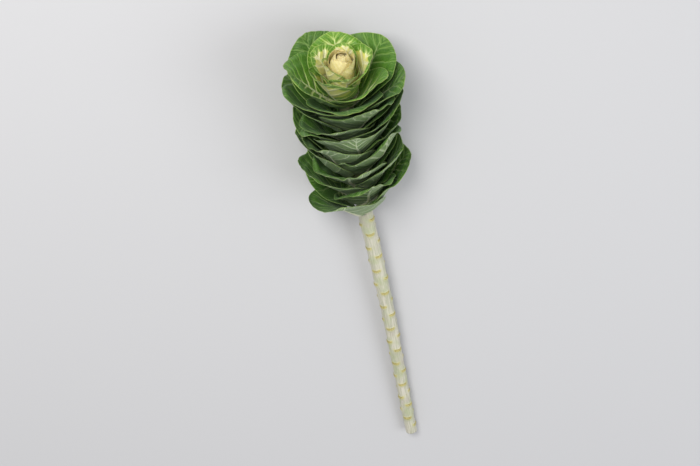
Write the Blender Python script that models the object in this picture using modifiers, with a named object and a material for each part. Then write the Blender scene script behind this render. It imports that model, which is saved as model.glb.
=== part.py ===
"""Ornamental kale stem, lying down: one woody stem, a spiral column of round leaves, a rosette and a cream bud.

Every leaf is placed in head space: a level s (one step per leaf, counted up and inwards), a share u of the way from
the stem to the leaf tip, and an azimuth a round the stem. Levels are nested bowls that never cross, so leaves that
stay on their own levels never cross either. Lengths are in millimetres until the last step, which makes metres.
"""

import math

import bmesh
import bpy
import numpy as np

# ---- driving dimensions (mm, degrees) ----
BARE_STEM = 372.0  # cut end to the leaf of level 0
R_CUT = 7.6  # stem radius at the cut end
R_NECK = 9.6  # stem radius under the lowest leaf
SLOPE_STEM = 3.1  # rise of the stem above the floor
SLOPE_HEAD = 23.0  # rise of the head axis
BEND_FROM, BEND_TO = -120.0, 215.0  # where the neck bends, along the stem
GOLDEN = -137.508  # turn from one leaf to the next
FIRST_AZIMUTH = 72.0
FIRST_LEVEL = -3  # the lowest leaf
COLUMN_RING = 37  # column, rosette and ring leaves lie on the levels below this one
BUD_LEAVES = 6  # small leaves rolled round the heart
SCAR_STEP = 7.0  # spacing of leaf scars along the bare stem
SCAR_RISE = 0.9
GAP = 0.3  # smallest gap between neighbouring pieces
SEED = 11

# The meridian of each level: attachment height and radius, length, and angle from the axis at base, middle and tip.
LEVELS = np.array([-14.0, -8.0, -3.0, 0.0, 6.0, 14.0, 20.0, 24.0, 28.0, 30.0, 32.0, 35.0, 37.5, 40.0, 43.0, 46.0, 49.0])
HEIGHT = np.array([-76.0, -44.0, -17.0, -1.0, 33.0, 78.0, 112.0, 133.0, 151.0, 159.0, 167.0, 178.0, 187.0, 194.0, 200.0, 205.0, 209.0])
RADIUS = np.array([11.8, 11.8, 11.8, 11.8, 11.7, 11.4, 11.1, 10.8, 10.0, 9.4, 8.8, 7.4, 6.2, 5.2, 3.6, 1.6, 0.8])
LENGTH = np.array([84.0, 86.0, 88.0, 90.0, 92.0, 94.0, 95.0, 93.0, 88.0, 78.0, 67.0, 54.0, 46.0, 41.0, 34.0, 27.0, 20.0])
ANGLE_BASE = np.array([70.0, 58.0, 50.0, 48.0, 46.0, 46.0, 46.0, 46.0, 47.0, 45.0, 46.0, 50.0, 56.0, 55.0, 48.0, 30.0, 20.0])
ANGLE_MID = np.array([84.0, 58.0, 40.0, 36.0, 33.0, 34.0, 37.0, 41.0, 42.0, 30.0, 19.0, 11.0, 4.0, 0.0, 0.0, 0.0, 0.0])
ANGLE_TIP = np.array([104.0, 74.0, 52.0, 44.0, 38.0, 40.0, 44.0, 48.0, 54.0, 52.0, 48.0, 40.0, -6.0, -48.0, -55.0, -55.0, -50.0])
WIDTH = np.array([1.04, 1.04, 1.04, 1.04, 1.04, 1.06, 1.08, 1.10, 1.12, 1.10, 1.02, 0.88, 0.78, 0.78, 0.78, 0.78, 0.78])

# Leaves that stand apart from the spiral's rule, by level (mm and shares, see wish).
OWN = {
    -3: dict(azimuth=math.radians(128.0), size=0.98, tilt=-3.0, tip=-7.0, cup=1.0, roll=-2.0, wide=1.2),
    -2: dict(size=0.95, tilt=2.0, tip=-3.0, roll=-3.0, wide=1.1),
    -1: dict(size=0.95, tilt=2.0, tip=0.0),
    0: dict(size=0.86, tilt=3.0, tip=-2.0, cup=-7.0, roll=0.0),
    2: dict(tilt=-1.0),
    5: dict(tilt=-3.0, tip=-4.0),
    8: dict(tilt=0.0, tip=6.0, cup=-3.0),
    13: dict(tilt=1.0, tip=4.0, wave=0.9),
    14: dict(wave=0.4, roll=1.0, tip=0.0, room=1.8),
    18: dict(tilt=-2.0, tip=-3.0, wave=0.9),
    19: dict(wave=0.8),
    21: dict(tip=5.0),
    26: dict(tip=-2.0, size=0.96),
    28: dict(size=0.98, tip=5.0, tilt=2.0),
    29: dict(size=0.88, tilt=-3.0, tip=7.0, cup=-2.0),
    31: dict(size=0.92, tip=-1.0),
    34: dict(size=0.82, tip=-2.0),
}

# Half outline of a leaf, as shares of its length: (half width, distance from the base).
OUTLINE = np.array(
    [
        (0.075, 0.0), (0.068, 0.06), (0.105, 0.12), (0.28, 0.165), (0.455, 0.265), (0.56, 0.415),
        (0.585, 0.58), (0.54, 0.745), (0.415, 0.88), (0.215, 0.97), (0.0, 1.0),
    ]
)  # fmt: skip


def smooth(x):
    x = np.clip(x, 0.0, 1.0)
    return x * x * (3.0 - 2.0 * x)


# ---- levels ----
LV = np.arange(-14.0, 49.01, 0.25)


def level_table(values):
    t = np.interp(LV, LEVELS, values)
    k = np.hanning(11)[1:-1]
    before = t[0] + np.arange(-4, 0) * (t[1] - t[0])
    after = t[-1] + np.arange(1, 5) * (t[-1] - t[-2])
    return np.convolve(np.concatenate([before, t, after]), k / k.sum(), mode="valid")


T_HEIGHT, T_RADIUS, T_LENGTH, T_A0, T_A1, T_A2 = [
    level_table(v) for v in (HEIGHT, RADIUS, LENGTH, ANGLE_BASE, ANGLE_MID, ANGLE_TIP)
]
UV = np.linspace(0.0, 1.15, 116)
UM = 0.5 * (UV[1:] + UV[:-1])
_ang = np.radians(
    T_A0[:, None] * (2 * (UM - 0.5) * (UM - 1)) + T_A1[:, None] * (-4 * UM * (UM - 1)) + T_A2[:, None] * (2 * UM * (UM - 0.5))
)
_zero = np.zeros((len(LV), 1))
M_RHO = T_RADIUS[:, None] + np.concatenate([_zero, np.cumsum(np.sin(_ang), 1)], 1) * 0.01 * T_LENGTH[:, None]
M_W = T_HEIGHT[:, None] + np.concatenate([_zero, np.cumsum(np.cos(_ang), 1)], 1) * 0.01 * T_LENGTH[:, None]
_ds = np.gradient(np.stack([M_RHO, M_W], -1), LV, axis=0)
_du = np.gradient(np.stack([M_RHO, M_W], -1), UV, axis=1)
_du /= np.linalg.norm(_du, axis=-1, keepdims=True)
M_STEP = np.maximum(_ds[..., 1] * _du[..., 0] - _ds[..., 0] * _du[..., 1], 0.4)  # mm between levels


def lookup(grid, s, u):
    fs = np.clip((np.asarray(s) - LV[0]) / 0.25, 0, len(LV) - 1.001)
    fu = np.clip(np.asarray(u) / 0.01, 0, len(UV) - 1.001)
    i, j = fs.astype(int), fu.astype(int)
    a, b = fs - i, fu - j
    return (grid[i, j] * (1 - a) + grid[i + 1, j] * a) * (1 - b) + (grid[i, j + 1] * (1 - a) + grid[i + 1, j + 1] * a) * b


def level_value(table, s):
    return np.interp(s, LV, table)


# ---- the stem axis: W runs along it, 0 near the lowest leaves ----
FLOOR_SOFT, FLOOR_SINK, FLOOR_REST = 6.5, 0.0, -0.6  # how softly, how deep and how high the head rests on the floor
WS = np.arange(-BARE_STEM - 5.0, 260.0, 1.0)
_slope = np.radians(SLOPE_STEM + (SLOPE_HEAD - SLOPE_STEM) * smooth((WS - BEND_FROM) / (BEND_TO - BEND_FROM)))
_yaw = np.radians(2.2 * np.sin((WS + 415.0) / 95.0) - 1.5 + 5.0 * smooth((WS + 150.0) / 260.0))
TX, TY, TZ = np.cos(_slope) * np.sin(_yaw), np.cos(_slope) * np.cos(_yaw), np.sin(_slope)
CX, CY, CZ = [np.concatenate([[0.0], np.cumsum(0.5 * (t[1:] + t[:-1]))]) for t in (TX, TY, TZ)]
_cut = 5
CX, CY, CZ = CX - CX[_cut], CY - CY[_cut], CZ - CZ[_cut] + R_CUT * math.cos(math.radians(SLOPE_STEM))
BX, BY = np.cos(_yaw), -np.sin(_yaw)
NX, NY, NZ = -np.sin(_slope) * np.sin(_yaw), -np.sin(_slope) * np.cos(_yaw), np.cos(_slope)


def to_world(x, y, w):
    """Head space (x to the side, y to the upper side, w along the axis) to floor space, with the head's own unevenness."""
    k = smooth((w + 30.0) / 60.0) * smooth(np.hypot(x, y) / 45.0)
    x1 = x + k * 2.6 * (np.sin(w / 23.0 + 0.7) * np.cos(y / 27.0 + 1.1) + 0.5 * np.sin(y / 13.0 + w / 19.0))
    y1 = y + k * 2.6 * (np.sin(w / 21.0 + 2.9) * np.cos(x / 25.0 + 0.4) + 0.5 * np.sin(x / 12.0 - w / 17.0 + 1.3))
    w1 = w + k * 2.4 * (np.sin(x / 22.0 + 1.9) * np.cos(y / 24.0 + 2.2) + 0.5 * np.sin((x + y) / 14.0))
    c = [np.interp(w1, WS, v) for v in (CX, CY, CZ)]
    b = [np.interp(w1, WS, v) for v in (BX, BY)]
    n = [np.interp(w1, WS, v) for v in (NX, NY, NZ)]
    px = c[0] + x1 * b[0] + y1 * n[0]
    py = c[1] + x1 * b[1] + y1 * n[1]
    pz = c[2] + y1 * n[2]
    # Leaves under the head are pressed flat on the floor.
    press = smooth((py - 290.0) / 70.0)
    soft = FLOOR_SOFT * np.logaddexp(0.0, (pz - FLOOR_SINK) / FLOOR_SOFT) + FLOOR_REST
    pz = pz + press * (soft - pz)
    return np.stack([px, py, pz], -1)


def head_point(s, u, a):
    rho, w = lookup(M_RHO, s, u), lookup(M_W, s, u)
    return to_world(rho * np.cos(a), rho * np.sin(a), w)


# ---- leaf outline ----
def outline_curve(n=241):
    """The half outline as a smooth curve from the base to the tip, with its share of arc length."""
    p = np.vstack([2 * OUTLINE[0] - OUTLINE[1], OUTLINE, [-OUTLINE[-2][0], OUTLINE[-2][1]]])
    out = []
    for k in range(1, len(p) - 2):
        t = np.linspace(0, 1, 24, endpoint=False)[:, None]
        out.append(
            0.5 * (2 * p[k] + (p[k + 1] - p[k - 1]) * t + (2 * p[k - 1] - 5 * p[k] + 4 * p[k + 1] - p[k + 2]) * t**2
                   + (3 * p[k] - p[k - 1] - 3 * p[k + 1] + p[k + 2]) * t**3)
        )  # fmt: skip
    out = np.vstack(out + [p[-2:-1]])
    d = np.concatenate([[0], np.cumsum(np.linalg.norm(np.diff(out, axis=0), axis=1))])
    q = np.linspace(0, d[-1], n)
    return np.stack([np.interp(q, d, out[:, 0]), np.interp(q, d, out[:, 1])], -1)


CURVE = outline_curve()
CORNER = 0.80  # share of the half outline where the side ends and the top arc starts


def on_outline(q):
    f = np.clip(q, 0, 1) * (len(CURVE) - 1)
    i = np.minimum(f.astype(int), len(CURVE) - 2)
    return CURVE[i] + (f - i)[:, None] * (CURVE[i + 1] - CURVE[i])


def leaf_plane(a, b):
    """Square (a from -1 to 1, b from 0 to 1) to the flat leaf, in shares of its length (Coons patch)."""
    ua, ub = np.unique(a), np.unique(b)
    side = on_outline(CORNER * ub)
    top = on_outline(1.0 - np.abs(ua) * (1.0 - CORNER)) * np.stack([np.where(ua < 0, -1.0, 1.0), np.ones(len(ua))], -1)
    ia, ib = np.searchsorted(ua, a), np.searchsorted(ub, b)
    right, left = side[ib], side[ib] * [-1.0, 1.0]
    bottom = np.stack([a * CURVE[0, 0], np.zeros(len(a))], -1)
    al, be = ((a + 1) / 2)[:, None], b[:, None]
    corners = (1 - be) * ((1 - al) * side[0] * [-1.0, 1.0] + al * side[0]) + be * ((1 - al) * side[-1] * [-1.0, 1.0] + al * side[-1])
    return (1 - be) * bottom + be * top[ia] + (1 - al) * left + al * right - corners


def half_width(v):
    order = np.argsort(CURVE[:, 1])
    return np.interp(v, CURVE[order, 1], CURVE[order, 0])


# ---- leaves ----
def leaf_list():
    rng = np.random.default_rng(SEED)
    out = []
    for i in range(FIRST_LEVEL, COLUMN_RING + BUD_LEAVES):
        s = float(i)
        r = rng.uniform(-1, 1, 12)
        ring = smooth((s - 28) / 7)
        bud = smooth((s - 35) / 2.5)
        calm = 1 - 0.55 * ring - 0.4 * bud
        out.append(
            dict(
                s=s,
                azimuth=math.radians(FIRST_AZIMUTH + GOLDEN * i + 5 * r[0] * (1 - bud)),
                size=0.985 + 0.05 * r[1] * calm,
                wide=float(np.interp(s, LEVELS, WIDTH)) + 0.06 * r[2] * calm,
                tilt=4.5 * r[3] * calm,
                roll=4.0 * r[4] * calm,
                cup=(2.5 * r[5] - 0.5) * calm,
                tip=3.5 * r[6] * calm,
                wave=(1.2 + 0.7 * r[7]) * (1 - 0.5 * ring) * (1 - 0.5 * bud),
                turns=3.0 + round(1.4 * (r[8] + 1)),
                phase=math.pi * r[9],
                skew=0.06 * r[10],
                thick=1.0 - 0.15 * ring - 0.25 * bud,
                stalk=2.6 - 1.2 * ring - 0.8 * bud,
                room=1.25 - 0.6 * float(smooth((s - 26) / 8)) - 0.22 * float(smooth((s - 35) / 2)),
            )
        )
        out[-1].update(OWN.get(i, {}))
    return out


def wish(leaf, u, side):
    """How far leaf would like to stand off its level, in mm towards the axis; side is the distance across over its half width."""
    v = np.clip(side, -1.25, 1.25)
    t = np.clip(u / leaf["size"], 0, 1.1)
    edge = smooth((np.maximum(np.abs(v), t - 0.1) - 0.35) / 0.6)
    along = smooth(t / 0.55)
    d = leaf["tilt"] * t**1.5 + leaf["roll"] * v * along + leaf["cup"] * v * v * along
    d = d + leaf["tip"] * smooth((t - 0.55) / 0.5) * (1 - 0.5 * v * v)
    d = d + leaf["wave"] * edge * along * np.sin(leaf["turns"] * (1.7 * v + 2.6 * t) + leaf["phase"] + 1.5 * v * v)
    return d


def leaf_rho(leaf, u):
    """Radius of the leaf's middle line, which turns a distance across into an azimuth."""
    t = np.clip(u / leaf["size"], 0, 1.1)
    d = leaf["tilt"] * t**1.5 + leaf["tip"] * smooth((t - 0.55) / 0.5)
    return lookup(M_RHO, leaf["s"] + np.clip(d / lookup(M_STEP, leaf["s"], u), -8, 8), u)


# The leaves are laid one over the other from the outside in, on a grid of u and azimuth. Depth is the true distance
# in mm from the outermost level, with the floor's pressure and the head's unevenness in it.
GU, GA = 42, 120
GRID_U = (np.arange(GU) - 1) * 0.03
GRID_A = np.arange(GA) * 2 * math.pi / GA
GRID_S = np.arange(LV[0], LV[-1] + 0.01, 0.5)


def depth_table():
    s, u, a = np.meshgrid(GRID_S, np.maximum(GRID_U, 0.0), GRID_A, indexing="ij")
    p = head_point(s, u, a)
    du = np.gradient(p, axis=1)
    du[:, :2] = du[:, 2:3]
    da = np.roll(p, -1, axis=2) - np.roll(p, 1, axis=2)
    n = np.cross(du, da)
    n /= np.maximum(np.linalg.norm(n, axis=-1, keepdims=True), 1e-9)
    step = np.maximum(np.abs((np.gradient(p, 0.5, axis=0) * n).sum(-1)), 0.04)
    return np.concatenate([np.zeros((1, GU, GA)), np.cumsum(0.25 * (step[1:] + step[:-1]), axis=0)], axis=0)


DEPTH = depth_table()


def to_depth(level):
    f = np.clip((level - GRID_S[0]) / 0.5, 0, len(GRID_S) - 1.001)
    i = f.astype(int)[None]
    lo, hi = np.take_along_axis(DEPTH, i, 0)[0], np.take_along_axis(DEPTH, i + 1, 0)[0]
    return lo + (f - i[0]) * (hi - lo)


def to_level(depth):
    i = np.clip((DEPTH < depth[None]).sum(0) - 1, 0, len(GRID_S) - 2)[None]
    lo, hi = np.take_along_axis(DEPTH, i, 0)[0], np.take_along_axis(DEPTH, i + 1, 0)[0]
    return GRID_S[0] + 0.5 * (i[0] + np.clip((depth - lo) / (hi - lo), 0, 1))


def turned(a):
    return (a + math.pi) % (2 * math.pi) - math.pi


def spread(g, r):
    """Largest value within r cells."""
    p = np.pad(g, ((r, r), (0, 0)), mode="edge")
    g = np.max([p[k : k + GU] for k in range(2 * r + 1)], axis=0)
    return np.max([np.roll(g, k, axis=1) for k in range(-r, r + 1)], axis=0)


def blurred(g, r):
    k = np.hanning(2 * r + 3)[1:-1]
    k /= k.sum()
    p = np.pad(g, ((r, r), (0, 0)), mode="edge")
    g = sum(k[j] * p[j : j + GU] for j in range(2 * r + 1))
    return sum(k[j] * np.roll(g, j - r, axis=1) for j in range(2 * r + 1))


def drape(leaves):
    under = np.full((GU, GA), -99.0)
    uu, aa = np.meshgrid(GRID_U, GRID_A, indexing="ij")
    for leaf in leaves:
        s = leaf["s"]
        length = float(level_value(T_LENGTH, s))
        across = turned(aa - leaf["azimuth"]) * leaf_rho(leaf, np.maximum(uu, 0))
        across = across - 0.6 * leaf["skew"] * (uu / leaf["size"]) ** 2 * length * leaf["size"] * leaf["wide"]
        half = length * leaf["size"] * leaf["wide"] * half_width(uu / leaf["size"])
        floor_half = 0.2 * length
        depth = to_depth(np.full((GU, GA), s)) + wish(leaf, np.maximum(uu, 0), across / np.maximum(half, floor_half))
        lift = np.maximum(under + leaf["thick"] + leaf["room"] - depth, 0.0)
        depth = depth + blurred(spread(lift, 3), 3)
        leaf["level"] = to_level(depth)
        here = (np.abs(across) <= half + (7.0 if s < 30 else 3.5 if s < 36 else 1.2)) & (uu <= leaf["size"] + 0.04)
        under = np.where(here, np.maximum(under, depth), under)


def leaf_level(leaf, u, a):
    """The draped level by cubic B-spline over the grid."""
    fu = np.clip((u - GRID_U[0]) / 0.03, 1.0, GU - 2.001)
    fa = (a / (2 * math.pi) * GA) % GA
    i, j = fu.astype(int), fa.astype(int)
    x, y = fu - i, fa - j

    def basis(t):
        return ((1 - t) ** 3 / 6, (3 * t**3 - 6 * t**2 + 4) / 6, (-3 * t**3 + 3 * t**2 + 3 * t + 1) / 6, t**3 / 6)

    out = np.zeros(np.shape(u))
    for p, bu in enumerate(basis(x)):
        for q, ba in enumerate(basis(y)):
            out = out + bu * ba * leaf["level"][np.clip(i - 1 + p, 0, GU - 1), (j - 1 + q) % GA]
    return out


def leaf_points(leaf, xy):
    """Flat leaf (shares of its length) to floor space."""
    length = float(level_value(T_LENGTH, leaf["s"])) * leaf["size"]
    x = (xy[:, 0] + leaf["skew"] * xy[:, 1] ** 2 * (1 - np.abs(xy[:, 0]))) * length * leaf["wide"]
    u = xy[:, 1] * leaf["size"]
    a = leaf["azimuth"] + x / leaf_rho(leaf, u)
    return head_point(leaf_level(leaf, u, a), u, a)


# ---- building ----
for old in list(bpy.data.objects):
    bpy.data.objects.remove(old)
KALE = bpy.data.collections.new("ornamental_kale_stem")
bpy.context.scene.collection.children.link(KALE)


def material(name, colour, rough):
    m = bpy.data.materials.new(name)
    m.use_nodes = True
    p = m.node_tree.nodes["Principled BSDF"]
    p.inputs["Base Color"].default_value = (*[(c / 255.0) ** 2.2 for c in colour], 1.0)
    p.inputs["Roughness"].default_value = rough
    return m


def place(ob, name, colour, rough=0.5):
    ob.name = ob.data.name = name
    for c in list(ob.users_collection):
        c.objects.unlink(ob)
    KALE.objects.link(ob)
    ob.data.materials.clear()
    ob.data.materials.append(material(name + "_m", colour, rough))
    for f in ob.data.polygons:
        f.use_smooth = True
    return ob


def move(ob, points):
    flat = (np.asarray(points) * 0.001).astype(np.float64).ravel()
    ob.data.vertices.foreach_set("co", flat)
    ob.data.update()


def positions(ob):
    co = np.empty(len(ob.data.vertices) * 3)
    ob.data.vertices.foreach_get("co", co)
    return co.reshape(-1, 3)


LEAVES = leaf_list()
drape(LEAVES)

CELLS = 10
leaf_points_all = []
for i, leaf in enumerate(LEAVES):
    across, along = (CELLS, CELLS) if leaf["s"] < 34 else (CELLS, CELLS - 1)
    bpy.ops.mesh.primitive_grid_add(x_subdivisions=across, y_subdivisions=along, size=2.0)
    ob = bpy.context.object
    co = positions(ob)
    a, b = np.round(co[:, 0], 6), np.round((co[:, 1] + 1) / 2, 6)
    xy = leaf_plane(a, b)
    pts = leaf_points(leaf, xy)
    move(ob, pts)
    group = ob.vertex_groups.new(name="stalk")
    blade = leaf["thick"] / leaf["stalk"]
    for k in range(len(co)):
        near = (1 - smooth(np.array(xy[k, 1] / 0.45))) * math.exp(-((xy[k, 0] / 0.09) ** 2))
        group.add([k], float(blade + (1 - blade) * near), "REPLACE")
    fit = ob.modifiers.new("thickness", "SOLIDIFY")
    fit.thickness = leaf["stalk"] * 0.001
    fit.offset = 0.0
    fit.vertex_group = group.name
    fit.use_even_offset = False
    tone = smooth((leaf["s"] - 22) / 14)
    bud = smooth((leaf["s"] - 35) / 2)
    dark, lime, cream = np.array([48.0, 92, 46]), np.array([126.0, 165, 66]), np.array([226.0, 214, 160])
    colour = (dark + (lime - dark) * tone) * (1 - bud) + cream * bud
    place(ob, "leaf_%02d" % (i + 1), colour)

# stem: a loft of rings from the cut end to the growing point inside the head
TOP_W = 184.0
RINGS_W = np.concatenate([np.arange(-BARE_STEM, -26.0, 5.6), np.linspace(-22.0, TOP_W, 18)])
AROUND = 16


def stem_radius(w):
    inside = np.interp(w, T_HEIGHT, T_RADIUS) - GAP - 0.2 - 0.5 * np.interp(w, [150.0, 184.0], [2.6, 1.4])
    outside = R_CUT + (R_NECK - R_CUT) * smooth((w + BARE_STEM) / (BARE_STEM + 30.0))
    r = np.minimum(inside, outside)
    return r * np.interp(w, [TOP_W - 12, TOP_W - 4, TOP_W], [1.0, 0.8, 0.35])


def scars():
    top = HEIGHT[2] - 6.0
    n = int((BARE_STEM + top - 4.0) / SCAR_STEP)
    return [(top - SCAR_STEP * k, math.radians(FIRST_AZIMUTH + GOLDEN * (FIRST_LEVEL - 1 - k))) for k in range(n)]


def stem_surface(w, a):
    r = stem_radius(w)
    for ws, at in scars():
        r = r + SCAR_RISE * np.exp(-(((w - ws) / 3.0) ** 2) - (turned(a - at) / 0.5) ** 2)
    return to_world(r * np.cos(a), r * np.sin(a), w)


bm = bmesh.new()
bmesh.ops.create_grid(bm, x_segments=AROUND, y_segments=len(RINGS_W) - 1, size=1.0)
bm.verts.ensure_lookup_table()
gx = np.array([v.co.x for v in bm.verts])
gy = np.array([v.co.y for v in bm.verts])
turn = np.round((gx + 1) / 2 * AROUND) % AROUND * (2 * math.pi / AROUND)
row = np.round((gy + 1) / 2 * (len(RINGS_W) - 1)).astype(int)
pts = stem_surface(RINGS_W[row], turn) * 0.001
for v, p in zip(bm.verts, pts, strict=True):
    v.co = p
bmesh.ops.remove_doubles(bm, verts=bm.verts, dist=1e-6)
bmesh.ops.holes_fill(bm, edges=[e for e in bm.edges if e.is_boundary], sides=0)
bmesh.ops.recalc_face_normals(bm, faces=bm.faces)
me = bpy.data.meshes.new("stem")
bm.to_mesh(me)
bm.free()
stem = bpy.data.objects.new("stem", me)
bpy.context.scene.collection.objects.link(stem)
place(stem, "stem", (200, 200, 178), 0.55)
for f in stem.data.polygons:
    f.use_smooth = len(f.vertices) < 6

# heart bud: the closed centre inside the last bud leaf
bpy.ops.mesh.primitive_uv_sphere_add(segments=20, ring_count=14, radius=1.0)
ob = bpy.context.object
co = positions(ob)
polar = np.arccos(np.clip(-co[:, 2], -1, 1)) / math.pi  # 0 at the bottom, 1 at the top
az = np.arctan2(co[:, 1], co[:, 0])
core_level = max(float(leaf["level"][6:30].max()) for leaf in LEAVES[-3:]) + 1.2
rho, w = lookup(M_RHO, core_level, np.clip(polar, 0, 1)), lookup(M_W, core_level, np.clip(polar, 0, 1))
close = np.clip(np.minimum(polar, 1 - polar) / 0.12, 0, 1) ** 0.5
pts = to_world(rho * close * np.cos(az), rho * close * np.sin(az), w)
move(ob, pts)
place(ob, "heart_bud", (232, 216, 170))
bm = bmesh.new()
bm.from_mesh(ob.data)
bmesh.ops.recalc_face_normals(bm, faces=bm.faces)
bm.to_mesh(ob.data)
bm.free()
print("core level", core_level)

# Everything is shifted so that the bounding box stands on the origin.
dg = bpy.context.evaluated_depsgraph_get()
low, high = np.full(3, 9.0), np.full(3, -9.0)
for ob in KALE.objects:
    e = ob.evaluated_get(dg)
    c = np.empty(len(e.data.vertices) * 3)
    e.data.vertices.foreach_get("co", c)
    c = c.reshape(-1, 3)
    if ob.name != "stem" and c[:, 2].min() < 0.004:
        print(ob.name, "lowest mm", round(c[:, 2].min() * 1000, 2))
    low, high = np.minimum(low, c.min(0)), np.maximum(high, c.max(0))
shift = -np.array([(low[0] + high[0]) / 2, (low[1] + high[1]) / 2, low[2]])
print("box mm", np.round((high - low) * 1000, 1), "low z", low[2] * 1000, "shift mm", np.round(shift * 1000, 4))
for ob in KALE.objects:
    c = positions(ob) + shift
    ob.data.vertices.foreach_set("co", c.ravel())
    ob.data.update()
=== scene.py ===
import math

import bpy
import numpy as np
from mathutils import Matrix, Vector


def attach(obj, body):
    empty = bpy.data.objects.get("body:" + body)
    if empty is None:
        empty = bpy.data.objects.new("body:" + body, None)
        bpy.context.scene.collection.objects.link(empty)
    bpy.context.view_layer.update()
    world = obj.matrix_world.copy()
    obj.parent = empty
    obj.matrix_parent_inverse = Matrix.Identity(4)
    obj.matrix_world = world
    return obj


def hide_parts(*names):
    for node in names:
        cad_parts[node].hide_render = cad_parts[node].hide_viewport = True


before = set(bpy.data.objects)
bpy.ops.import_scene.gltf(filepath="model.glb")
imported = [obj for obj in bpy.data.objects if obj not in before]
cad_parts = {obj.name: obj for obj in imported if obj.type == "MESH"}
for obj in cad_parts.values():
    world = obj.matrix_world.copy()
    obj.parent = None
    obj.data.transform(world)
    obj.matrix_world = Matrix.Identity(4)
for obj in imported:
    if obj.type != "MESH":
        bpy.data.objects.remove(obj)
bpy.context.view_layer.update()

# ======================================================================================================================
# Head space, as in the CAD: a level s (one step per leaf), a share u of the way from stem to leaf tip, and an azimuth.
# Lengths are in millimetres until the last step.
# ======================================================================================================================
# >>> head geometry, as in the CAD
# ---- driving dimensions (mm, degrees) ----
BARE_STEM = 372.0  # cut end to the leaf of level 0
R_CUT = 7.6  # stem radius at the cut end
R_NECK = 9.6  # stem radius under the lowest leaf
SLOPE_STEM = 3.1  # rise of the stem above the floor
SLOPE_HEAD = 23.0  # rise of the head axis
BEND_FROM, BEND_TO = -120.0, 215.0  # where the neck bends, along the stem
GOLDEN = -137.508  # turn from one leaf to the next
FIRST_AZIMUTH = 72.0
FIRST_LEVEL = -3  # the lowest leaf
COLUMN_RING = 37  # column, rosette and ring leaves lie on the levels below this one
BUD_LEAVES = 6  # small leaves rolled round the heart
SCAR_STEP = 7.0  # spacing of leaf scars along the bare stem
SCAR_RISE = 0.9
GAP = 0.3  # smallest gap between neighbouring pieces
SEED = 11

# The meridian of each level: attachment height and radius, length, and angle from the axis at base, middle and tip.
LEVELS = np.array([-14.0, -8.0, -3.0, 0.0, 6.0, 14.0, 20.0, 24.0, 28.0, 30.0, 32.0, 35.0, 37.5, 40.0, 43.0, 46.0, 49.0])
HEIGHT = np.array([-76.0, -44.0, -17.0, -1.0, 33.0, 78.0, 112.0, 133.0, 151.0, 159.0, 167.0, 178.0, 187.0, 194.0, 200.0, 205.0, 209.0])
RADIUS = np.array([11.8, 11.8, 11.8, 11.8, 11.7, 11.4, 11.1, 10.8, 10.0, 9.4, 8.8, 7.4, 6.2, 5.2, 3.6, 1.6, 0.8])
LENGTH = np.array([84.0, 86.0, 88.0, 90.0, 92.0, 94.0, 95.0, 93.0, 88.0, 78.0, 67.0, 54.0, 46.0, 41.0, 34.0, 27.0, 20.0])
ANGLE_BASE = np.array([70.0, 58.0, 50.0, 48.0, 46.0, 46.0, 46.0, 46.0, 47.0, 45.0, 46.0, 50.0, 56.0, 55.0, 48.0, 30.0, 20.0])
ANGLE_MID = np.array([84.0, 58.0, 40.0, 36.0, 33.0, 34.0, 37.0, 41.0, 42.0, 30.0, 19.0, 11.0, 4.0, 0.0, 0.0, 0.0, 0.0])
ANGLE_TIP = np.array([104.0, 74.0, 52.0, 44.0, 38.0, 40.0, 44.0, 48.0, 54.0, 52.0, 48.0, 40.0, -6.0, -48.0, -55.0, -55.0, -50.0])
WIDTH = np.array([1.04, 1.04, 1.04, 1.04, 1.04, 1.06, 1.08, 1.10, 1.12, 1.10, 1.02, 0.88, 0.78, 0.78, 0.78, 0.78, 0.78])

# Leaves that stand apart from the spiral's rule, by level (mm and shares, see wish).
OWN = {
    -3: dict(azimuth=math.radians(128.0), size=0.98, tilt=-3.0, tip=-7.0, cup=1.0, roll=-2.0, wide=1.2),
    -2: dict(size=0.95, tilt=2.0, tip=-3.0, roll=-3.0, wide=1.1),
    -1: dict(size=0.95, tilt=2.0, tip=0.0),
    0: dict(size=0.86, tilt=3.0, tip=-2.0, cup=-7.0, roll=0.0),
    2: dict(tilt=-1.0),
    5: dict(tilt=-3.0, tip=-4.0),
    8: dict(tilt=0.0, tip=6.0, cup=-3.0),
    13: dict(tilt=1.0, tip=4.0, wave=0.9),
    14: dict(wave=0.4, roll=1.0, tip=0.0, room=1.8),
    18: dict(tilt=-2.0, tip=-3.0, wave=0.9),
    19: dict(wave=0.8),
    21: dict(tip=5.0),
    26: dict(tip=-2.0, size=0.96),
    28: dict(size=0.98, tip=5.0, tilt=2.0),
    29: dict(size=0.88, tilt=-3.0, tip=7.0, cup=-2.0),
    31: dict(size=0.92, tip=-1.0),
    34: dict(size=0.82, tip=-2.0),
}

# Half outline of a leaf, as shares of its length: (half width, distance from the base).
OUTLINE = np.array(
    [
        (0.075, 0.0), (0.068, 0.06), (0.105, 0.12), (0.28, 0.165), (0.455, 0.265), (0.56, 0.415),
        (0.585, 0.58), (0.54, 0.745), (0.415, 0.88), (0.215, 0.97), (0.0, 1.0),
    ]
)  # fmt: skip


def smooth(x):
    x = np.clip(x, 0.0, 1.0)
    return x * x * (3.0 - 2.0 * x)


# ---- levels ----
LV = np.arange(-14.0, 49.01, 0.25)


def level_table(values):
    t = np.interp(LV, LEVELS, values)
    k = np.hanning(11)[1:-1]
    before = t[0] + np.arange(-4, 0) * (t[1] - t[0])
    after = t[-1] + np.arange(1, 5) * (t[-1] - t[-2])
    return np.convolve(np.concatenate([before, t, after]), k / k.sum(), mode="valid")


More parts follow.
